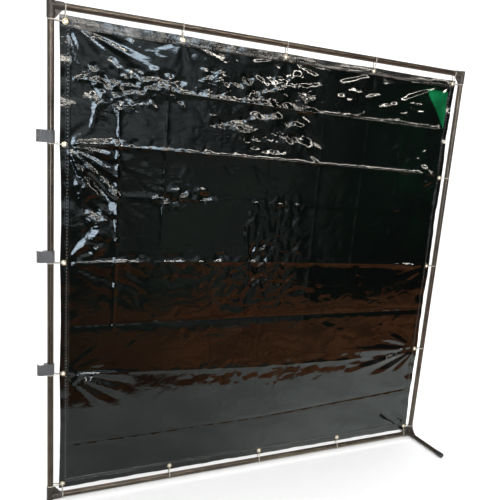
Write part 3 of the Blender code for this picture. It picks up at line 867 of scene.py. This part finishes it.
def glossy_film():
    """Dark green film that reads as black: opaque here, with the light coming through it painted, mirror-like and
    crinkled, with a welded hem.
    """
    material, tree, shader = finish_of("glossy_dark_film", ior=1.52)
    coords = put(tree, "ShaderNodeTexCoord").outputs["Object"]
    parts = put(tree, "ShaderNodeSeparateXYZ", {0: coords})
    x, z = parts.outputs[0], parts.outputs[2]
    crumple = put(tree, "ShaderNodeAttribute", attribute_name="crumple").outputs["Fac"]
    wander = noise(tree, coords, 5.0, 4.0, 0.55)
    patchy = noise(tree, coords, 1.7, 3.0, 0.5)

    edges = sheet_edges(tree, x, z)
    left, right, head, foot = edges
    edge = smaller(tree, smaller(tree, left, right), smaller(tree, head, foot))
    hem = spread(tree, edge, HEM - 0.0015, HEM + 0.0005, 1.0, 0.0)

    # Near black all over, with painted light coming through the film: a green cast towards the upper right, and the
    # brighter lit corner.
    black = blended(tree, spread(tree, patchy, 0.35, 0.65), (0.0010, 0.0014, 0.0012, 1), (0.0014, 0.0026, 0.0020, 1))
    painted_through_light = times(tree, spread(tree, x, 0.35, 0.85), spread(tree, z, 0.95, 1.45))
    painted_through_light = times(tree, painted_through_light, spread(tree, wander, 0.35, 0.7))
    body = blended(tree, times(tree, painted_through_light, 0.8), black, (0.0010, 0.0062, 0.0030, 1))
    # Painted light: the bright green of daylight coming through the film in the lit corner.
    green = blended(tree, spread(tree, wander, 0.4, 0.65), (0.002, 0.060, 0.020, 1), (0.004, 0.125, 0.042, 1))
    body = blended(tree, lit_corner(tree, x, z, wander), body, green)

    # Welded hem: near black at the sides and the foot, blotched with grey along the head.
    blotch = spread(tree, noise(tree, coords, 17.0, 4.0, 0.65), 0.42, 0.66)
    blotch = times(tree, blotch, spread(tree, x, -0.3, 0.45, 1.0, 0.1))
    head_tone = blended(tree, blotch, (0.0015, 0.0016, 0.0015, 1), (0.075, 0.070, 0.062, 1))
    left_hem = spread(tree, left, HEM - 0.001, HEM + 0.001, 1.0, 0.0)
    head_hem = spread(tree, head, HEM - 0.001, HEM + 0.001, 1.0, 0.0)
    hem_tone = blended(tree, head_hem, (0.0022, 0.0024, 0.0022, 1), head_tone)
    body = blended(tree, hem, body, hem_tone)

    gloss = spread(tree, noise(tree, coords, 12.0, 4.0, 0.6), 0.3, 0.75, 0.035, 0.085)
    gloss = plus(tree, gloss, times(tree, hem, maths(tree, "MULTIPLY_ADD", head_hem, 0.08, 0.02)))
    tree.links.new(gloss, shader.inputs["Roughness"])

    welds, ribs = weld_marks(tree, x, z, edges)
    # Painted highlight: the weld dots are painted paler, as they look where light catches them; their dents are in
    # the relief below.
    body = blended(tree, times(tree, welds, 0.30), body, (0.16, 0.155, 0.14, 1))
    tree.links.new(body, shader.inputs["Base Color"])

    # Heights in metres: crumples where the sheet is creased, slow slack, fine ripple, the hem's welds and blotches.
    carried = carried_place(tree, coords)
    large = cell_edges(tree, carried, (9.0, 1.0, 15.0), (0, 0.3, 0), 0.30)
    small = cell_edges(tree, carried, (26.0, 1.0, 40.0), (0, -0.5, 0), 0.35)
    ruck = noise(tree, stretched(tree, carried, (13.0, 1.0, 42.0), (0, 0.12, 0)), 1.0, 2.0, 0.55)
    brush = noise(tree, stretched(tree, carried, (34.0, 1.0, 95.0), (0, 0.45, 0)), 1.0, 3.0, 0.6)
    brush_depth = spread(tree, x, -0.75, 0.1, 1.0, 0.0)
    hem_depth = times(
        tree, spread(tree, x, -0.35, 0.35, 0.0030, 0.0002), maths(tree, "MULTIPLY_ADD", left_hem, -0.6, 1.0)
    )
    hem_blotch = times(tree, noise(tree, coords, 24.0, 4.0, 0.6), hem_depth)
    height = times(tree, large, maths(tree, "MULTIPLY_ADD", crumple, 0.0010, 0.0002))
    for more in (
        times(tree, ruck, times(tree, maths(tree, "POWER", crumple, 1.6), 0.0030)),
        times(tree, small, times(tree, crumple, 0.0005)),
        times(tree, noise(tree, coords, 3.2, 2.0, 0.5), 0.006),
        times(tree, noise(tree, coords, 22.0, 2.0, 0.5), 0.00025),
        times(tree, brush, maths(tree, "MULTIPLY_ADD", brush_depth, 0.00025, 0.0001)),
        times(tree, plus(tree, welds, ribs), 0.0006),
        times(tree, hem, hem_blotch),
    ):
        height = plus(tree, height, more)
    relief(tree, shader, height, 1.0, 1.0)
    return material


curtain.data.materials.clear()
curtain.data.materials.append(glossy_film())
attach(curtain, "frame")
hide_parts("curtain_sheet")

# ---------------------------------------------------------------- studio


def stage_piece(name, size, place, turn=(0, 0, 0)):
    nothing_selected()
    bpy.ops.mesh.primitive_plane_add(size=1.0, location=place, rotation=turn)
    piece = bpy.context.object
    piece.name = name
    piece.scale = (size[0], size[1], 1)
    return piece


floor = stage_piece("studio_floor", (40, 40), (0, 0, FLOOR))
pale, tree, shader = finish_of("pale_floor", ior=1.3)
shader.inputs["Base Color"].default_value = (0.94, 0.94, 0.94, 1)
shader.inputs["Roughness"].default_value = 0.9
shader.inputs["Specular IOR Level"].default_value = 0.0
floor.data.materials.append(pale)


def glow_card(name, colour, size, place, turn=(0, 0, 0), strength=1.0, shades=(), mottled=0.0, soft=False):
    """A card that only reflections see, even, shaded or mottled.

    Shades are ranges of heading from the sheet, x over depth, with the strengths at both ends of the range.
    A soft card fades out at its edges.
    """
    card = stage_piece(name, size, place, turn)
    glow = bpy.data.materials.new(name)
    nodes = tree_of(glow)
    shine = put(nodes, "ShaderNodeEmission", {"Color": (*colour, 1), "Strength": strength})
    if shades or mottled:
        position = put(nodes, "ShaderNodeNewGeometry").outputs["Position"]
        parts = put(nodes, "ShaderNodeSeparateXYZ", {0: position})
        heading = maths(nodes, "DIVIDE", parts.outputs[0], times(nodes, parts.outputs[1], -1.0))
        cloud = noise(nodes, position, 2.2, 3.0, 0.6)
        level = spread(nodes, cloud, 0.35, 0.65, strength * (1 - mottled), strength * (1 + mottled))
        for start, end, low, high in shades:
            level = times(nodes, level, spread(nodes, heading, start, end, low, high))
        if soft:
            on_card = put(nodes, "ShaderNodeTexCoord").outputs["Object"]
            over = put(nodes, "ShaderNodeSeparateXYZ", {0: on_card})
            for axis in (0, 1):
                off_centre = maths(nodes, "ABSOLUTE", over.outputs[axis])
                level = times(nodes, level, spread(nodes, off_centre, 0.28, 0.5, 1.0, 0.0))
        nodes.links.new(level, shine.inputs["Strength"])
    out = put(nodes, "ShaderNodeOutputMaterial")
    nodes.links.new(shine.outputs[0], out.inputs[0])
    card.data.materials.append(glow)
    glow.cycles.emission_sampling = "NONE"
    card.visible_camera = card.visible_diffuse = card.visible_shadow = False


# Glowing cards, not lamps: painted reflection of a pale floor near the screen, a brown band further off and a dark
# room beyond, seen only in reflections.
glow_card(
    "pale_boards_glow", (0.93, 1.0, 0.96), (12, 0.95), (0, -0.475, FLOOR + 0.005),
    shades=[(-1.4, 2.2, 0.72, 1.35)], mottled=0.14,
)
glow_card(
    "brown_boards_glow", (0.50, 0.19, 0.08), (9, 1.65), (3.72, -1.775, FLOOR + 0.004),
    shades=[(-0.5, 0.5, 0.40, 1.0)], mottled=0.45,
)
glow_card(
    "dark_boards_glow", (0.9, 1.0, 0.9), (40, 42), (0, -21.96, FLOOR + 0.003),
    shades=[(0.0, 0.3, 0.05, 0.18), (0.52, 0.74, 1.0, 0.12)], mottled=0.8,
)
# Narrow ceiling lamps and windows, which only reflections see.
FACING = (math.pi / 2, 0, 0)
LAMP_COLOUR, LAMP_STRENGTH = (1.0, 0.94, 0.84), 50
WINDOW_COLOUR, WINDOW_STRENGTH = (0.70, 0.86, 1.0), 12.0
for name, size, place in (
    ("ceiling_lamp_far", (13.0, 0.13), (1.3, -5.6, 3.45)),
    ("ceiling_lamp_middle", (7.0, 0.08), (-1.4, -3.2, 3.6)),
    ("ceiling_lamp_near", (6.0, 0.08), (-1.4, -1.7, 3.7)),
):
    glow_card(name, LAMP_COLOUR, size, place, FACING, LAMP_STRENGTH)
for name, size, place in (
    ("side_window", (2.0, 3.3), (-1.95, -5.0, 1.85)),
    ("high_window", (0.8, 0.8), (0.35, -3.0, 2.75)),
):
    glow_card(name, WINDOW_COLOUR, size, place, FACING, WINDOW_STRENGTH, mottled=0.5, soft=True)


def softbox(name, place, size):
    """A rectangular lamp turned to the middle of the screen."""
    light = bpy.data.lights.new(name, "AREA")
    light.shape = "RECTANGLE"
    light.size, light.size_y = size
    light.energy = 60
    lamp = bpy.data.objects.new(name, light)
    scene.collection.objects.link(lamp)
    lamp.location = place
    lamp.rotation_euler = (Vector((0, 0, 1.0)) - Vector(place)).to_track_quat("-Z", "Y").to_euler()
    lamp.visible_camera = False
    return lamp


softbox("front_softbox", (-0.8, -3.0, 3.0), (2.6, 0.8)).visible_glossy = False
softbox("rear_softbox", (0.6, 3.5, 3.0), (2.5, 1.0))

world = bpy.data.worlds.new("studio")
scene.world = world
tree = tree_of(world)
path = put(tree, "ShaderNodeLightPath")
bright = put(tree, "ShaderNodeBackground", {"Color": (1, 1, 1, 1), "Strength": 1.2})
heading = put(tree, "ShaderNodeTexCoord").outputs["Generated"]
sides = put(tree, "ShaderNodeSeparateXYZ", {0: heading})
leftward = spread(tree, sides.outputs[0], 0.10, 0.60, 1.0, 0.0)
upward = spread(tree, sides.outputs[2], -0.12, 0.12, 0.4, 1.0)
patches = spread(tree, noise(tree, heading, 5.0, 3.0, 0.6), 0.3, 0.7, 0.35, 1.5)
room = maths(tree, "MULTIPLY_ADD", times(tree, leftward, upward), times(tree, patches, 0.85), 0.03)
dim = put(tree, "ShaderNodeBackground", {"Color": (0.86, 0.95, 1.0, 1), "Strength": room})
pick = put(tree, "ShaderNodeMixShader", {0: path.outputs["Is Glossy Ray"], 1: bright.outputs[0], 2: dim.outputs[0]})
out = put(tree, "ShaderNodeOutputWorld")
tree.links.new(pick.outputs[0], out.inputs[0])
world.cycles.sampling_method = "NONE"
